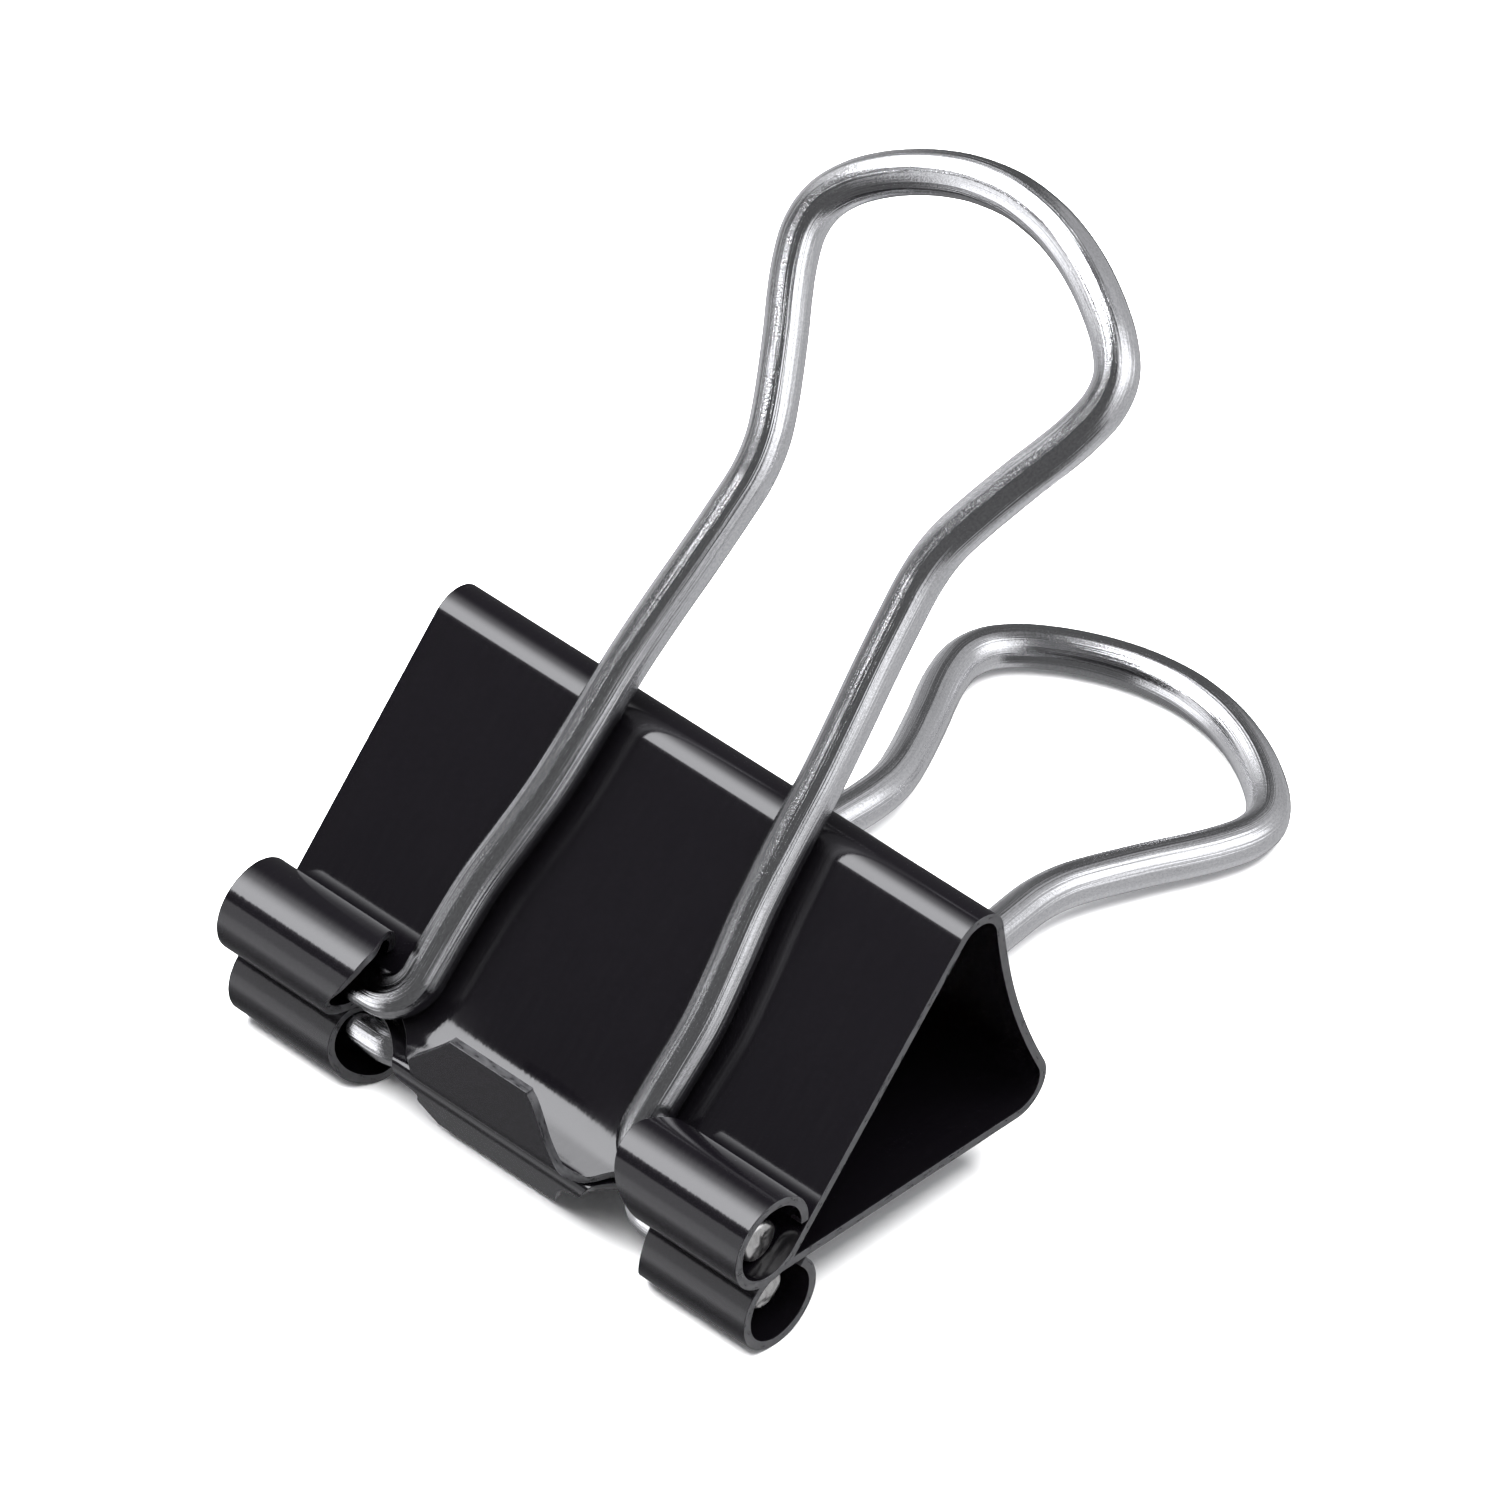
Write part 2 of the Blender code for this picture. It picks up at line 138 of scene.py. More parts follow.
# The lower barrels' inner ends are cut further back, between these lengths.
LOWER_RELIEF = 0.20
RELIEF_START = 2.4
RELIEF_RISE = 1.2
RELIEF_END = 5.0
RELIEF_FALL = 1.5

# Half outline of a handle: x, then distance from its axis.
HANDLE_OUTLINE = [
    (LEG_START, 1.00), (4.06, 1.70), (4.08, 2.60), (4.08, 4.10), (3.90, 5.80), (3.71, 7.40),
    (3.60, 9.50), (3.54, 11.20), (3.41, 12.80), (3.26, 14.30), (3.14, 15.80), (3.08, 17.00),
    (3.19, 18.00), (3.52, 19.00), (4.22, 20.62), (4.69, 21.60), (5.06, 22.47), (5.31, 23.40),
    (5.20, 24.27), (4.66, 25.04), (3.87, 25.69), (2.98, 26.22), (2.07, 26.61), (1.15, 26.86),
    (0.00, 26.98),
]

# Sheared wire end: share of the wire's radius, then how far it stands out.
END_RINGS = [
    (0.96, 0.05), (0.90, 0.085), (0.80, 0.10), (0.66, 0.11), (0.50, 0.115), (0.34, 0.12),
    (0.17, 0.12),
]
END_MIDDLE = 0.13
RIM_RADIUS = 0.93
END_LUMP = 0.07
END_GRAIN = 0.03
END_SLANT = 0.05

# Camera: direction from the clip, distance and a slight roll
CAMERA_DISTANCE = 0.33739
CAMERA_AZIMUTH = -48.64
CAMERA_ELEVATION = 41.15
CAMERA_ROLL = 2.15
CAMERA_TARGET = Vector((0.00014, -0.00417, 0.00984))
CAMERA_LENS = 304.08


# Stage, in metres and watts
FLOOR_HALF = 0.45
FLOOR_GAP = 0.00002
BACKDROP_RADIUS = 2.0
LAMP_DISTANCE = 0.8
LAMP_SIZE = 1.0
LAMP_POWER = 40.0


# ---------------------------------------------------------------- the clip's frame

def joint(name):
    return next(j for j in frame["joints"] if j["name"] == name)


def clip_frame():
    """The clip's own frame in the row frame, from where two of its hinges are."""
    spine = Vector(joint("jaw_opening")["pos_m"])
    handle = Vector(joint("upper_handle_swing")["pos_m"])
    placed = handle - spine
    drawn = Vector((0.0, EYE_Y - AXIS_SETBACK - SPINE_Y, EYE_Z - WIRE_DROP))
    tilt = math.atan2(placed.z, placed.y) - math.atan2(drawn.z, drawn.y)
    turn = Matrix.Rotation(tilt, 4, "X")
    start = spine - turn @ Vector((0.0, SPINE_Y * MM, 0.0))
    return Matrix.Translation(start) @ turn


CLIP = clip_frame()


def smoothstep(t):
    t = min(1.0, max(0.0, t))
    return t * t * (3.0 - 2.0 * t)


def unit(angle):
    return Vector((math.cos(angle), math.sin(angle)))


def interpolate(table, s):
    """Smooth curve through (s, x) pairs."""
    last = len(table) - 1
    if s <= table[0][0]:
        return table[0][1]
    if s >= table[last][0]:
        return table[last][1]
    i = 0
    while table[i + 1][0] < s:
        i += 1
    s0, x0 = table[i]
    s1, x1 = table[i + 1]
    span = s1 - s0
    slope = (x1 - x0) / span
    before = slope
    after = slope
    if i > 0:
        p = table[i - 1]
        before = 0.5 * (slope + (x0 - p[1]) / (s0 - p[0]))
    if i + 1 < last:
        q = table[i + 2]
        after = 0.5 * (slope + (q[1] - x1) / (q[0] - s1))
    t = (s - s0) / span
    a = (1.0 + 2.0 * t) * (1.0 - t) ** 2
    b = t * (1.0 - t) ** 2
    c = t * t * (3.0 - 2.0 * t)
    d = t * t * (t - 1.0)
    return a * x0 + b * span * before + c * x1 + d * span * after


# ---------------------------------------------------------------- the sheet's section

class Section:
    """The sheet's middle line in the (y, z) plane of the upper jaw, from the spine's middle.

    at(s, centre) gives the point and the outward normal: along the barrel's line, or along
    the line of the stop tab. Both are the same up to the blend. s is 0 where the wall runs
    into the barrel.
    """

    def __init__(self, spine_slope, tuck, flat, tab_lean, tab_plate, blend_start):
        fold = Vector((FOLD_Y, FOLD_Z))
        eye = Vector((EYE_Y, EYE_Z))
        span = eye - fold
        reach = span.length
        lean = math.asin((FOLD_R + EYE_R) / reach)
        self.wall = math.atan2(-span.y, -span.x) + lean
        self.down = -unit(self.wall)
        self.out = Vector((-math.sin(self.wall), math.cos(self.wall)))
        self.fold = fold
        self.eye = eye
        self.wall_length = math.sqrt(reach**2 - (FOLD_R + EYE_R) ** 2)
        self.touch = eye - EYE_R * self.out
        self.tuck = tuck
        self.arc_length = FOLD_R * (math.pi / 2 + self.wall + tuck)
        start = Vector((SPINE_Y, 0.0))
        end = fold + FOLD_R * unit(-tuck)
        tangent = Vector((math.sin(tuck), math.cos(tuck)))
        first = Vector((spine_slope, 1.0)).normalized()
        pull = (end - start).length / 3.0
        self.spine = [start, start + pull * first, end - pull * tangent, end]
        self.marks = self.measure(self.spine, 60)
        self.s_fold = -self.wall_length - self.arc_length
        self.s_start = self.s_fold - self.marks[-1][0]
        drop = (EYE_Z - EYE_R - self.touch.y) / self.down.y
        corner = self.touch + drop * self.down
        self.s_blend = drop - blend_start
        first = corner - blend_start * self.down
        second = corner + Vector((-BLEND_END, 0.0))
        before = first.lerp(corner, BLEND_ROUND)
        after = second.lerp(corner, BLEND_ROUND)
        self.blend = [first, before, after, second]
        self.blend_marks = self.measure(self.blend, 60)
        self.s_flat = self.s_blend + self.blend_marks[-1][0]
        self.flat_from = second
        self.flat = flat
        self.s_tab_fold = self.s_flat + flat
        self.tab_turn = math.radians(90.0 + tab_lean)
        self.s_plate = self.s_tab_fold + TAB_FOLD_R * self.tab_turn
        self.s_tab_end = self.s_plate + tab_plate
        clear = (EYE_R - SHEET / 2 - ROLL_GAP) / (EYE_R + SHEET / 2)
        self.sweep = 2 * math.pi - math.acos(clear)
        self.s_barrel_end = EYE_R * self.sweep

    @staticmethod
    def curve(points, t):
        a, b, c, d = points
        u = 1.0 - t
        place = u**3 * a + 3 * u * u * t * b + 3 * u * t * t * c + t**3 * d
        along = u * u * (b - a) + 2 * u * t * (c - b) + t * t * (d - c)
        return place, along.normalized()

    def measure(self, points, steps):
        marks = [(0.0, 0.0)]
        last = points[0]
        for i in range(1, steps + 1):
            place, _ = self.curve(points, i / steps)
            marks.append((marks[-1][0] + (place - last).length, i / steps))
            last = place
        return marks

    def on_curve(self, points, marks, length):
        i = 0
        while i + 2 < len(marks) and marks[i + 1][0] < length:
            i += 1
        l0, t0 = marks[i]
        l1, t1 = marks[i + 1]
        return self.curve(points, t0 + (t1 - t0) * (length - l0) / (l1 - l0))

    def at(self, s, centre):
        if s < self.s_fold:
            place, along = self.on_curve(self.spine, self.marks, s - self.s_start)
            return place, Vector((along.y, -along.x))
        if s < -self.wall_length:
            way = unit(-self.tuck + (s - self.s_fold) / FOLD_R)
            return self.fold + FOLD_R * way, way
        if s < self.s_blend or (s < 0.0 and not centre):
            return self.touch + s * self.down, self.out
        if not centre:
            way = unit(self.wall - math.pi / 2 - s / EYE_R)
            return self.eye + EYE_R * way, -way
        if s < self.s_flat:
            place, along = self.on_curve(self.blend, self.blend_marks, s - self.s_blend)
            return place, Vector((along.y, -along.x))
        if s < self.s_tab_fold:
            return self.flat_from - Vector((s - self.s_flat, 0.0)), Vector((0.0, 1.0))
        hub = self.flat_from + Vector((-self.flat, TAB_FOLD_R))
        turn = min(s - self.s_tab_fold, TAB_FOLD_R * self.tab_turn) / TAB_FOLD_R
        way = unit(-math.pi / 2 - turn)
        place = hub + TAB_FOLD_R * way
        if s > self.s_plate:
            place = place + (s - self.s_plate) * Vector((way.y, -way.x))
        return place, -way


def row_marks(section):
    """Distances along the sheet at which the mesh has a row of points."""
    rows = []

    def add(first, last, steps):
        for i in range(steps):
            rows.append(first + (last - first) * i / steps)

    add(section.s_start, section.s_fold, 16)
    add(section.s_fold, -section.wall_length, 26)
    add(-section.wall_length, BLEND_FINE_START, 10)
    add(BLEND_FINE_START, SLOT_S, 22)
    rows.extend([SLOT_S, 0.345, 0.37, 0.41, 0.46, 0.52, 0.59, 0.67, 0.76, 0.86])
    add(0.96, section.s_tab_fold, 7)
    add(section.s_tab_fold, section.s_plate, 9)
    corner = section.s_tab_end - TAB_CORNER
    add(section.s_plate, corner, 16)
    add(corner, section.s_tab_end, 6)
    add(section.s_tab_end, section.s_barrel_end, 34)
    rows.append(section.s_barrel_end)
    return rows


CENTRE_COLUMNS = [i / 14 for i in range(15)]
BARREL_COLUMNS = [0.0, 0.03, 0.07, 0.12, 0.18, 0.26, 0.40, 0.55, 0.70, 0.85, 1.0]


class Blank:
    """Grows one closed sheet mesh out of the two jaws' grids, flat and folded at once."""

    def __init__(self):
        self.folded = []
        self.normals = []
        self.coords = []
        self.quads = []
        self.index = {}

    def vertex(self, jaw, side, key):
        kind, i, j = key
        s = jaw["rows"][i]
        if kind == "b" and j == 0 and s <= SLOT_S + TINY:
            kind, j = "c", len(CENTRE_COLUMNS) - 1
        half = side if (kind, j) != ("c", 0) else 0
        name = jaw["name"] if i > 0 else "both"
        tag = (name, half, kind, i, j)
        if tag in self.index:
            return self.index[tag]
        section = jaw["section"]
        tab = interpolate(TAB_EDGE, s)
        if side < 0:
            kept = 1.0 if jaw["lower"] else smoothstep((section.s_tab_end - s) / LOPSIDE_FALL)
            tab += TAB_LOPSIDE * smoothstep((s - LOPSIDE_START) / LOPSIDE_RISE) * kept
        edge = interpolate(BARREL_EDGE, s)
        lift = jaw["relief"] * smoothstep((s - RELIEF_START) / RELIEF_RISE)
        edge += lift * (1.0 - smoothstep((s - RELIEF_END) / RELIEF_FALL))
        if kind == "c":
            x = CENTRE_COLUMNS[j] * tab
        else:
            x = edge + BARREL_COLUMNS[j] * (WIDTH / 2 - edge)
        near = smoothstep((x - SPREAD_START) / SPREAD)
        past = smoothstep((s - SLOT_S) / SPLIT_LENGTH)
        share = near * (1.0 - past) if kind == "c" else near + (1.0 - near) * past
        wide = jaw["wide"]
        if s < wide.s_blend:
            share = 1.0
        a, na = section.at(s, True)
        outer, outer_way = wide.at(s, True)
        flare = min(1.0, (x / TAB_HALF) ** 2)
        a = a.lerp(outer, flare)
        na = na.lerp(outer_way, flare)
        b, nb = section.at(s, False)
        place = a.lerp(b, share)
        way = na.lerp(nb, share).normalized()
        x *= side
        grow = (s - section.s_start) / -section.s_start
        x_placed = x + jaw["skew"] * min(1.0, max(0.0, grow))
        flip = -1.0 if jaw["lower"] else 1.0
        shift = JAW_SHIFT if jaw["lower"] else 0.0
        reach = smoothstep((s - section.s_start) / (section.s_fold - section.s_start))
        self.index[tag] = len(self.folded)
        self.folded.append(Vector((x_placed, place.x + shift * reach, flip * place.y)))
        self.normals.append(Vector((0.0, way.x, flip * way.y)))
        self.coords.append((x, flip * (s - section.s_start)))
        return self.index[tag]

    def add_jaw(self, jaw):
        rows = jaw["rows"]
        for side in (1, -1):
            for i in range(len(rows) - 1):
                for kind, columns in (("c", CENTRE_COLUMNS), ("b", BARREL_COLUMNS)):
                    if kind == "c" and rows[i + 1] > jaw["section"].s_tab_end + TINY:
                        continue
                    for j in range(len(columns) - 1):
                        keys = [(kind, i, j), (kind, i, j + 1)]
                        keys += [(kind, i + 1, j + 1), (kind, i + 1, j)]
                        quad = [self.vertex(jaw, side, key) for key in keys]
                        turned = (side > 0) != jaw["lower"]
                        self.quads.append(quad if turned else quad[::-1])

    def mesh(self, name):
        """The closed mesh, with its points laid out flat, and where folding takes them."""
        count = len(self.folded)
        flat = []
        folded = []
        coords = []
        for w in (SHEET / 2, -SHEET / 2):
            for place, way, (x, s) in zip(self.folded, self.normals, self.coords):
                flat.append(Vector((x, w, s)))
                folded.append(place + w * way)
                coords.append((x, s, w))
        faces = [tuple(q) for q in self.quads]
        faces += [tuple(v + count for v in q[::-1]) for q in self.quads]
        used = set()
        for q in self.quads:
            used.update(zip(q, q[1:] + q[:1]))
        rim = []
        for a, b in sorted(used):
            if (b, a) not in used:
                rim.append(len(faces))
                faces.append((b, a, a + count, b + count))
        mesh = bpy.data.meshes.new(name)
        mesh.from_pydata([CLIP @ (p * MM) for p in flat], [], faces)
        for f in mesh.polygons:
            f.use_smooth = True
        for f in rim:
            mesh.polygons[f].material_index = 1
        store = mesh.attributes.new("sheet_coord", "FLOAT_VECTOR", "POINT")
        store.data.foreach_set("vector", [c * MM for row in coords for c in row])
        return mesh, [CLIP @ (p * MM) for p in folded]


def make_body():
    blank = Blank()
    upper = (SPINE_SLOPE, UPPER_TUCK, UPPER_FLAT, UPPER_TAB_LEAN, UPPER_TAB_PLATE)
    lower = (-SPINE_SLOPE, LOWER_TUCK, LOWER_FLAT, LOWER_TAB_LEAN, LOWER_TAB_PLATE)
    for name, shape, relief, low, skew in (
        ("upper", upper, 0.0, False, JAW_SKEW),
        ("lower", lower, LOWER_RELIEF, True, -JAW_SKEW),
    ):
        jaw = {"name": name, "relief": relief, "lower": low, "skew": skew}
        jaw["section"] = Section(*shape, BLEND_MIDDLE)
        jaw["wide"] = Section(*shape, BLEND_SIDE)
        jaw["rows"] = row_marks(jaw["section"])
        blank.add_jaw(jaw)
    mesh, folded = blank.mesh("body_sheet")
    body = bpy.data.objects.new("body_sheet", mesh)
    bpy.context.scene.collection.objects.link(body)
    bpy.context.view_layer.update()
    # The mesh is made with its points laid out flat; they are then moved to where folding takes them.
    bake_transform(body)
    flat_list = []
    for p in folded:
        flat_list += [p.x, p.y, p.z]
    body.data.vertices.foreach_set("co", flat_list)
    work = bmesh.new()
    work.from_mesh(body.data)
    bmesh.ops.recalc_face_normals(work, faces=work.faces)
    work.to_mesh(body.data)
    work.free()
    body.data.update()
    bevel = body.modifiers.new("rounded_edges", "BEVEL")
    bevel.width = EDGE_ROUND * MM
    bevel.segments = 2
    bevel.limit_method = "ANGLE"
    bevel.angle_limit = math.radians(50.0)
    bevel.harden_normals = True
    bevel.material = -1
    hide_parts("lower_jaw", "upper_jaw")
    return body


# ---------------------------------------------------------------- wire handles

def handle_path(play, sway):
    """Centre line of a handle: x, distance from the axis, and outward bow."""
    half = [(STUB_END - 0.25 * i, 0.0) for i in range(14)]
    hub = LEG_START + BEND_R
    for i in range(BEND_STEPS + 1):
        turn = math.radians(90.0 * i / BEND_STEPS)
        half.append((hub - BEND_R * math.sin(turn), BEND_R - BEND_R * math.cos(turn)))
    guide = [Vector(p) for p in HANDLE_OUTLINE]
    mirrored = Vector((-guide[-2].x, guide[-2].y))
    chain = [guide[0] - Vector((0.0, 0.6))] + guide + [mirrored]
    pieces = 8
    for i in range(1, len(chain) - 2):
        a, b, c, d = chain[i - 1 : i + 3]
        for k in range(1, pieces + 1):
            t = k / pieces
            p = b * (2 - 5 * t * t + 3 * t**3) + c * (t + 4 * t * t - 3 * t**3)
            p = p + a * (-t + 2 * t * t - t**3) + d * (t**3 - t * t)
            half.append((0.5 * p.x, 0.5 * p.y))
    full = half + [(-x, v) for x, v in half[-2::-1]]
    path = []
    for x, v in full:
        bow = HANDLE_BOW * math.sin(math.pi * min(v, BOW_END) / BOW_END)
        away = smoothstep(v / SWAY_RISE)
        aside = sway * away * (1.0 - SWAY_LOST * smoothstep((v - SWAY_FALL_START) / SWAY_FALL))
        if x < 0.0:
            x *= 1.0 - LEFT_PINCH * away * (1.0 - smoothstep((v - PINCH_FALL_START) / PINCH_FALL))
        path.append(Vector((x + play + aside, v, bow)))
    return path


def make_handle(name, play, sway, low):
    """A drawn wire along the path. Its ends are sheared off: rough, with a worn rim."""
    path = handle_path(play, sway)
    ring = WIRE_SIDES
    points = []
    coords = []
    faces = []
    length = 0.0
    count = len(path)
    for i, centre in enumerate(path):
        into = (centre - path[i - 1]).normalized() if i > 0 else None
        on = (path[i + 1] - centre).normalized() if i < count - 1 else None
        along = (into + on).normalized() if into and on else (into or on)
        if i > 0:
            length += (centre - path[i - 1]).length
        side = Vector((0.0, 0.0, 1.0))
        side = (side - side.dot(along) * along).normalized()
        third = along.cross(side)
        for k in range(ring):
            turn = 2.0 * math.pi * k / ring
            away = math.cos(turn) * side + math.sin(turn) * third
            points.append(centre + WIRE_R * away)
            coords.append((math.cos(turn), math.sin(turn), length))
    for i in range(count - 1):
        for k in range(ring):
            a = i * ring + k
            b = i * ring + (k + 1) % ring
            faces.append((a, b, b + ring, a + ring))
    ends = []
    for first, way in ((0, 1.0), ((count - 1) * ring, -1.0)):
        loop = [first + k for k in range(ring)]
        outward = Vector((1.0, 0.0, 0.0)) * way
        middle = path[0] if way > 0 else path[-1]
        previous = loop
        for radius, push in END_RINGS:
            fresh = []
            for k in range(ring):
                edge = points[loop[k]] - middle
                lump = noise.noise(edge * radius * 3.1 + Vector((way * 7.0, 2.0, 5.0)))
                fine = noise.noise(edge * radius * 9.0 + Vector((1.0, way * 3.0, 8.0)))
                slant = END_SLANT * edge.z * radius / WIRE_R
                if radius < RIM_RADIUS:
                    push_out = push + END_LUMP * lump + END_GRAIN * fine + slant
                else:
                    push_out = push
                place = middle + edge * radius + push_out * outward
                fresh.append(len(points))
                points.append(place)
                coords.append(coords[loop[k]])
            for k in range(ring):
                a, b = previous[k], previous[(k + 1) % ring]
                c, d = fresh[(k + 1) % ring], fresh[k]
                face = (b, a, d, c) if way > 0 else (a, b, c, d)
                ends.append(len(faces))
                faces.append(face)
            previous = fresh
        hub = len(points)
        points.append(middle + END_MIDDLE * outward)
        coords.append((0.0, 0.0, 0.0))
        for k in range(ring):
            a, b = previous[k], previous[(k + 1) % ring]
            ends.append(len(faces))
            faces.append((b, a, hub) if way > 0 else (a, b, hub))
    mesh = bpy.data.meshes.new(name)
    mesh.from_pydata([p * MM for p in points], [], faces)
    for f in mesh.polygons:
        f.use_smooth = True
    for f in ends:
        mesh.polygons[f].material_index = 1
    store = mesh.attributes.new("wire_coord", "FLOAT_VECTOR", "POINT")
    store.data.foreach_set("vector", [c for row in coords for c in row])
    if low:
        mesh.transform(Matrix.Scale(-1.0, 4, Vector((0.0, 0.0, 1.0))))
    work = bmesh.new()
    work.from_mesh(mesh)
    bmesh.ops.recalc_face_normals(work, faces=work.faces)
    work.to_mesh(mesh)
    work.free()
    node = "lower_handle" if low else "upper_handle"
    hinge = Vector(joint(node + "_swing")["pos_m"])
    lean = math.radians(-HANDLE_ANGLE if low else HANDLE_ANGLE)
    turn = CLIP.to_3x3().to_4x4() @ Matrix.Rotation(lean, 4, "X")
    mesh.transform(Matrix.Translation(hinge) @ turn)
    piece = bpy.data.objects.new(name, mesh)
    bpy.context.scene.collection.objects.link(piece)
    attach(piece, node)
    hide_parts(node)
    return piece


# ---------------------------------------------------------------- materials

class Nodes:
    """A material's node tree, with a short way to add and link nodes."""

    def __init__(self, name):
        self.material = bpy.data.materials.new(name)
        self.material.use_nodes = True
        self.tree = self.material.node_tree
        self.shader = self.tree.nodes["Principled BSDF"]

    def add(self, kind, **settings):
        node = self.tree.nodes.new(kind)
        for key, value in settings.items():
            setattr(node, key, value)
        return node

    def link(self, source, target):
        self.tree.links.new(source, target)

    def scaled(self, vector, scale):
        node = self.add("ShaderNodeVectorMath", operation="MULTIPLY")
        self.link(vector, node.inputs[0])
        node.inputs[1].default_value = scale
        return node.outputs["Vector"]

    def noise(self, vector, detail=3.0, roughness=0.55, scale=1.0):
        node = self.add("ShaderNodeTexNoise")
        self.link(vector, node.inputs["Vector"])
        node.inputs["Scale"].default_value = scale
        node.inputs["Detail"].default_value = detail
        node.inputs["Roughness"].default_value = roughness
        return node.outputs["Fac"]

    def ramp(self, value, low, high, to_low, to_high):
        node = self.add("ShaderNodeMapRange")
        self.link(value, node.inputs["Value"])
        for name, v in (("From Min", low), ("From Max", high), ("To Min", to_low), ("To Max", to_high)):
            node.inputs[name].default_value = v
        return node.outputs["Result"]

    def math(self, operation, first, second=None):
        node = self.add("ShaderNodeMath", operation=operation)
        self.link(first, node.inputs[0])
        if second is not None:
            self.link(second, node.inputs[1])
        return node.outputs[0]

    def mix_colour(self, factor, first, second):
        node = self.add("ShaderNodeMix", data_type="RGBA")
        self.link(factor, node.inputs[0])
        node.inputs[6].default_value = (*first, 1.0)
        node.inputs[7].default_value = (*second, 1.0)
        return node.outputs[2]

    def bump(self, height, distance, strength=1.0, after=None):
        node = self.add("ShaderNodeBump")
        self.link(height, node.inputs["Height"])
        node.inputs["Distance"].default_value = distance
        node.inputs["Strength"].default_value = strength
        if after is not None:
            self.link(after, node.inputs["Normal"])
        return node.outputs["Normal"]

    def attribute(self, name):
        return self.add("ShaderNodeAttribute", attribute_name=name).outputs["Vector"]


def lacquer():
    """Baked black lacquer over rolled strip: fine lines run along the strip under it."""
    m = Nodes("black_lacquer_fine")
    coord = m.attribute("sheet_coord")
    lines = m.noise(m.scaled(coord, (11000.0, 500.0, 0.0)), detail=3.0)
    swell = m.noise(m.scaled(coord, (380.0, 260.0, 0.0)), detail=2.0)
    specks = m.noise(m.scaled(coord, (5200.0, 5200.0, 0.0)), detail=1.0)
    tone = m.ramp(lines, 0.3, 0.7, 0.0, 1.0)
    colour = m.mix_colour(tone, (0.0021, 0.0018, 0.0025), (0.0025, 0.0022, 0.0029))
    m.link(colour, m.shader.inputs["Base Color"])
    m.link(m.ramp(lines, 0.25, 0.75, 0.08, 0.12), m.shader.inputs["Roughness"])
    # Stretch marks where the strip bends into the lip
    split = m.add("ShaderNodeSeparateXYZ")
    m.link(coord, split.inputs[0])
    away = m.math("ABSOLUTE", split.outputs["Y"])
    bent = m.ramp(away, 0.0132, 0.0139, 0.0, 1.0)
    marks = m.math("MULTIPLY", m.noise(m.scaled(coord, (5200.0, 1500.0, 0.0)), detail=3.0), bent)
    first = m.bump(swell, 0.000006, 0.5)
    second = m.bump(lines, 0.00000022, 0.6, first)
    third = m.bump(marks, 0.0000035, 1.0, second)
    m.link(m.bump(specks, 0.0000004, 0.5, third), m.shader.inputs["Normal"])
    m.shader.inputs["IOR"].default_value = 1.52
    m.shader.inputs["Coat Weight"].default_value = 0.0
    return m.material


def cut_edge():
    """Sheared edge of the strip: the lacquer is thin there and shows grey steel."""
    m = Nodes("lacquered_cut_edge")
    coord = m.attribute("sheet_coord")
    grain = m.noise(m.scaled(coord, (3000.0, 3000.0, 9000.0)), detail=4.0)
    m.link(m.mix_colour(m.ramp(grain, 0.35, 0.65, 0.0, 1.0), (0.010, 0.010, 0.011), (0.030, 0.030, 0.032)),
           m.shader.inputs["Base Color"])
    m.link(m.ramp(grain, 0.3, 0.7, 0.24, 0.42), m.shader.inputs["Roughness"])
    m.link(m.bump(grain, 0.000004, 0.6), m.shader.inputs["Normal"])
    m.shader.inputs["IOR"].default_value = 1.6
    return m.material


def plated_wire():
    """Drawn wire with bright nickel plate: long drawing lines and fine grain."""
    m = Nodes("nickel_plate_fine")
    coord = m.attribute("wire_coord")
    lines = m.noise(m.scaled(coord, (4.5, 4.5, 0.07)), detail=3.0, roughness=0.65)
    grain = m.noise(m.scaled(coord, (10.0, 10.0, 13.0)), detail=3.0, roughness=0.75)
    cloud = m.noise(m.scaled(coord, (1.2, 1.2, 0.25)), detail=3.0)
    mottle = m.math("ADD", m.ramp(cloud, 0.35, 0.65, 0.0, 0.3), m.ramp(grain, 0.40, 0.62, 0.7, 0.0))
    m.link(m.mix_colour(mottle, (0.66, 0.66, 0.67), (0.81, 0.81, 0.82)), m.shader.inputs["Base Color"])
    m.link(m.ramp(grain, 0.3, 0.7, 0.04, 0.13), m.shader.inputs["Roughness"])
    first = m.bump(lines, 0.000030, 1.0)
    m.link(m.bump(grain, 0.0000055, 1.0, first), m.shader.inputs["Normal"])
    m.shader.inputs["Metallic"].default_value = 1.0
    return m.material


def sheared_end():
    """Bare steel where the wire was sheared off."""
    m = Nodes("sheared_wire_end")
    place = m.add("ShaderNodeTexCoord").outputs["Object"]
    tear = m.noise(m.scaled(place, (1400.0, 3800.0, 1600.0)), detail=4.0)
    m.link(m.mix_colour(m.ramp(tear, 0.35, 0.65, 0.0, 1.0), (0.55, 0.545, 0.53), (0.80, 0.79, 0.77)),
           m.shader.inputs["Base Color"])
    m.link(m.ramp(tear, 0.3, 0.7, 0.22, 0.42), m.shader.inputs["Roughness"])
    m.link(m.bump(tear, 0.00004, 0.6), m.shader.inputs["Normal"])
    m.shader.inputs["Metallic"].default_value = 1.0
    return m.material


# ---------------------------------------------------------------- stage

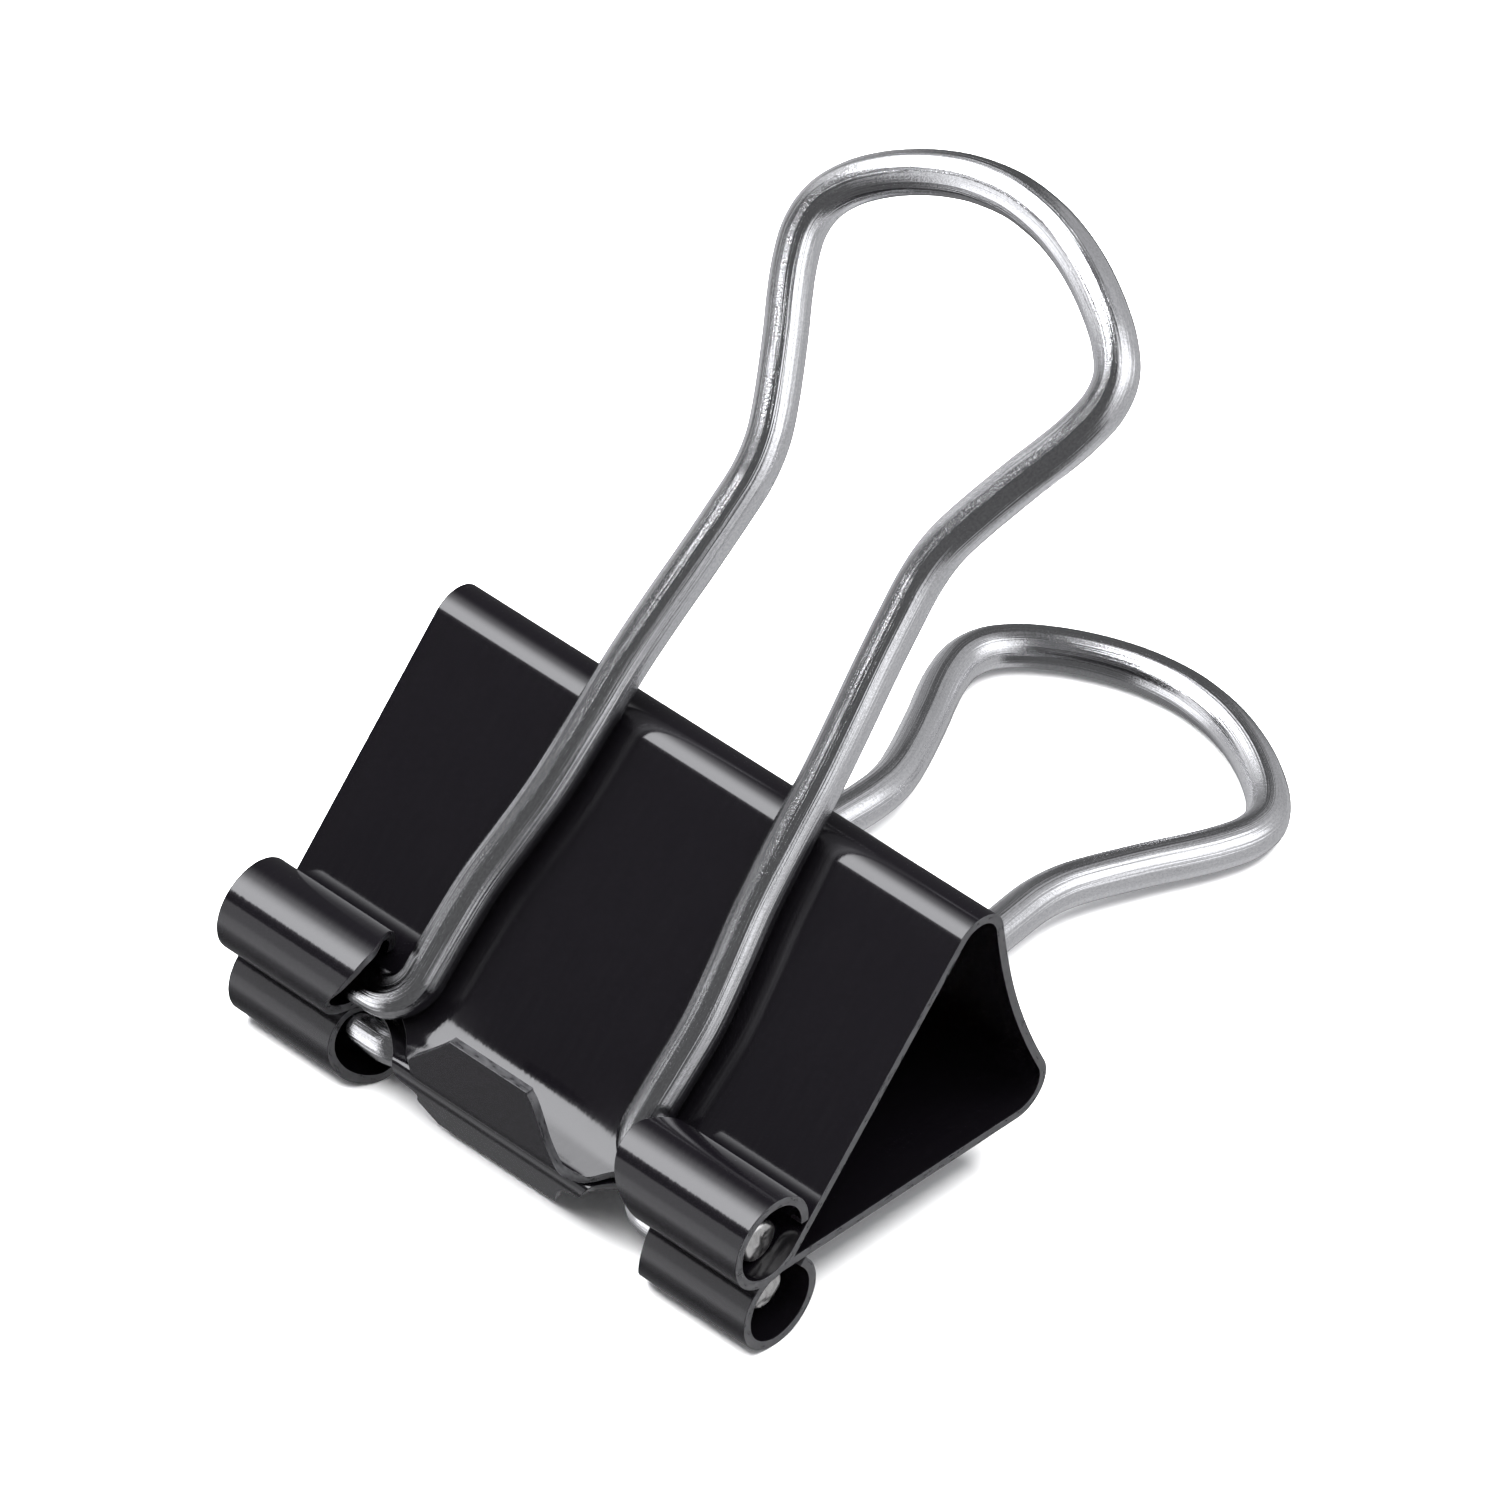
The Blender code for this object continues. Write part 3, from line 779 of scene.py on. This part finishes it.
def make_floor():
    mesh = bpy.data.meshes.new("floor")
    half = FLOOR_HALF
    corners = [(-half, -half, 0.0), (half, -half, 0.0), (half, half, 0.0), (-half, half, 0.0)]
    mesh.from_pydata(corners, [], [(0, 1, 2, 3)])
    floor = bpy.data.objects.new("floor", mesh)
    bpy.context.scene.collection.objects.link(floor)
    m = Nodes("pale_floor")
    m.shader.inputs["Base Color"].default_value = (0.93, 0.93, 0.93, 1.0)
    m.shader.inputs["Roughness"].default_value = 0.9
    m.shader.inputs["Specular IOR Level"].default_value = 0.0
    mesh.materials.append(m.material)
    floor.location.z = -FLOOR_GAP
    floor.visible_glossy = False
    return floor


def direction(azimuth, elevation):
    a = math.radians(azimuth)
    e = math.radians(elevation)
    return Vector((math.cos(e) * math.cos(a), math.cos(e) * math.sin(a), math.sin(e)))


def make_camera():
    camera = bpy.data.cameras.new("camera")
    camera.lens = CAMERA_LENS
    camera.sensor_width = 36.0
    camera.clip_start = 0.01
    camera.clip_end = 5.0
    holder = bpy.data.objects.new("camera", camera)
    bpy.context.scene.collection.objects.link(holder)
    back = direction(CAMERA_AZIMUTH, CAMERA_ELEVATION)
    holder.location = CAMERA_TARGET + CAMERA_DISTANCE * back
    turn = back.to_track_quat("Z", "Y").to_matrix().to_4x4()
    roll = Matrix.Rotation(math.radians(CAMERA_ROLL), 4, "Z")
    holder.matrix_world = Matrix.Translation(holder.location) @ turn @ roll
    bpy.context.scene.camera = holder


def stage_light(name, way, distance, size, power):
    """A broad lamp that lights the floor and the body but isn't mirrored in either."""
    light = bpy.data.lights.new(name, "AREA")
    light.shape = "SQUARE"
    light.size = size
    light.energy = power
    lamp = bpy.data.objects.new(name, light)
    bpy.context.scene.collection.objects.link(lamp)
    lamp.location = distance * way
    lamp.rotation_euler = way.to_track_quat("Z", "Y").to_euler()
    lamp.visible_glossy = False
    lamp.visible_camera = False


# The room as the gloss sees it. Each patch: which way it is measured from (1 is +X, -1 is
# -X), azimuth from, to, how soft each side is, elevation from, to, how soft each is, glow.
ROOM_GLOW = 0.11
ROOM = [
    ("left_box_core", -1, 8.0, 61.0, 24.0, 4.0, 40.2, 76.0, 1.0, 6.0, 5.2),
    ("left_box", -1, -18.0, 62.0, 28.0, 4.0, 40.0, 76.0, 1.2, 6.0, 3.0),
    ("left_box_rim", -1, -32.0, 62.0, 14.0, 4.0, 37.0, 78.0, 6.0, 5.0, 0.5),
    ("left_box_corner", -1, -8.0, 15.0, 14.0, 5.0, 16.0, 41.0, 8.0, 1.5, 0.9),
    ("left_wall", -1, -38.0, 17.0, 8.0, 6.0, -12.0, 44.0, 4.0, 8.0, 0.2),
    ("low_card", -1, 36.0, 74.0, 8.0, 8.0, -30.0, 22.0, 8.0, 1.4, 1.1),
    ("right_box", 1, -24.0, 46.0, 18.0, 9.0, 18.0, 67.0, 17.0, 7.0, 1.15),
    ("right_wall", 1, -34.0, 112.0, 8.0, 4.0, -3.0, 74.0, 3.0, 7.0, 0.32),
    ("right_wall_near", 1, -30.0, 76.0, 8.0, 22.0, -3.0, 72.0, 3.0, 7.0, 0.16),
    ("table_left", -1, -44.0, 78.0, 6.0, 8.0, -44.0, -4.0, 12.0, 4.0, 0.48),
    ("table_right", 1, -14.0, 108.0, 6.0, 6.0, -91.0, -4.0, 1.0, 4.0, 0.42),
    ("table_near", 1, -181.0, 181.0, 1.0, 1.0, -91.0, -52.0, 1.0, 8.0, 0.10),
]


class World:
    """World nodes that add soft patches of glow, placed by azimuth and elevation."""

    def __init__(self, name):
        self.world = bpy.data.worlds.new(name)
        self.world.use_nodes = True
        self.tree = self.world.node_tree
        self.tree.nodes.clear()
        place = self.tree.nodes.new("ShaderNodeTexCoord")
        split = self.tree.nodes.new("ShaderNodeSeparateXYZ")
        self.tree.links.new(place.outputs["Generated"], split.inputs[0])
        x, y, z = split.outputs
        self.azimuth = {
            1: self.math("ARCTAN2", y, x),
            -1: self.math("ARCTAN2", self.math("MULTIPLY", y, -1.0), self.math("MULTIPLY", x, -1.0)),
        }
        self.elevation = self.math("ARCSINE", z)

    def math(self, operation, first, second=None):
        node = self.tree.nodes.new("ShaderNodeMath")
        node.operation = operation
        for socket, value in zip(node.inputs, (first, second)):
            if isinstance(value, (int, float)):
                socket.default_value = value
            elif value is not None:
                self.tree.links.new(value, socket)
        return node.outputs[0]

    def step(self, angle, middle, softness, rising=True):
        node = self.tree.nodes.new("ShaderNodeMapRange")
        node.interpolation_type = "SMOOTHSTEP"
        self.tree.links.new(angle, node.inputs["Value"])
        node.inputs["From Min"].default_value = math.radians(middle - softness)
        node.inputs["From Max"].default_value = math.radians(middle + softness)
        node.inputs["To Min"].default_value = 0.0 if rising else 1.0
        node.inputs["To Max"].default_value = 1.0 if rising else 0.0
        return node.outputs["Result"]

    def patch(self, facing, left, right, soft_left, soft_right, low, high, soft_low, soft_high, glow):
        across = self.math("MULTIPLY", self.step(self.azimuth[facing], left, soft_left),
                           self.step(self.azimuth[facing], right, soft_right, rising=False))
        up = self.math("MULTIPLY", self.step(self.elevation, low, soft_low),
                       self.step(self.elevation, high, soft_high, rising=False))
        return self.math("MULTIPLY", self.math("MULTIPLY", across, up), glow)


def make_world():
    """Dark room, one big soft box high on the left, a lower one on the right."""
    made = World("studio")
    total = made.math("ADD", ROOM_GLOW, 0.0)
    for _, *patch in ROOM:
        total = made.math("ADD", total, made.patch(*patch))
    glow = made.tree.nodes.new("ShaderNodeBackground")
    made.tree.links.new(total, glow.inputs["Strength"])
    glow.inputs["Color"].default_value = (0.965, 0.97, 1.0, 1.0)
    out = made.tree.nodes.new("ShaderNodeOutputWorld")
    made.tree.links.new(glow.outputs[0], out.inputs["Surface"])
    bpy.context.scene.world = made.world


def make_backdrop():
    """Pale surround that only the camera sees."""
    mesh = bpy.data.meshes.new("backdrop")
    work = bmesh.new()
    bmesh.ops.create_uvsphere(work, u_segments=48, v_segments=24, radius=BACKDROP_RADIUS)
    work.to_mesh(mesh)
    work.free()
    drop = bpy.data.objects.new("backdrop", mesh)
    bpy.context.scene.collection.objects.link(drop)
    m = Nodes("pale_backdrop")
    m.shader.inputs["Base Color"].default_value = (0.0, 0.0, 0.0, 1.0)
    m.shader.inputs["Specular IOR Level"].default_value = 0.0
    m.shader.inputs["Emission Color"].default_value = (1.0, 1.0, 1.0, 1.0)
    m.shader.inputs["Emission Strength"].default_value = 1.0
    mesh.materials.append(m.material)
    for ray in ("visible_diffuse", "visible_glossy", "visible_transmission", "visible_shadow"):
        setattr(drop, ray, False)


def main():
    make_camera()
    make_floor()
    make_backdrop()
    make_world()
    body = make_body()
    for m in (lacquer(), cut_edge()):
        body.data.materials.append(m)
    plate = plated_wire()
    end = sheared_end()
    for name, play, sway, low in (
        ("upper_wire", UPPER_PLAY, UPPER_SWAY, False),
        ("lower_wire", LOWER_PLAY, LOWER_SWAY, True),
    ):
        piece = make_handle(name, play, sway, low)
        piece.data.materials.append(plate)
        piece.data.materials.append(end)
    stage_light("overhead", Vector((0.0, 0.0, 1.0)), LAMP_DISTANCE, LAMP_SIZE, LAMP_POWER)
    bpy.context.scene.view_settings.view_transform = "Standard"


main()
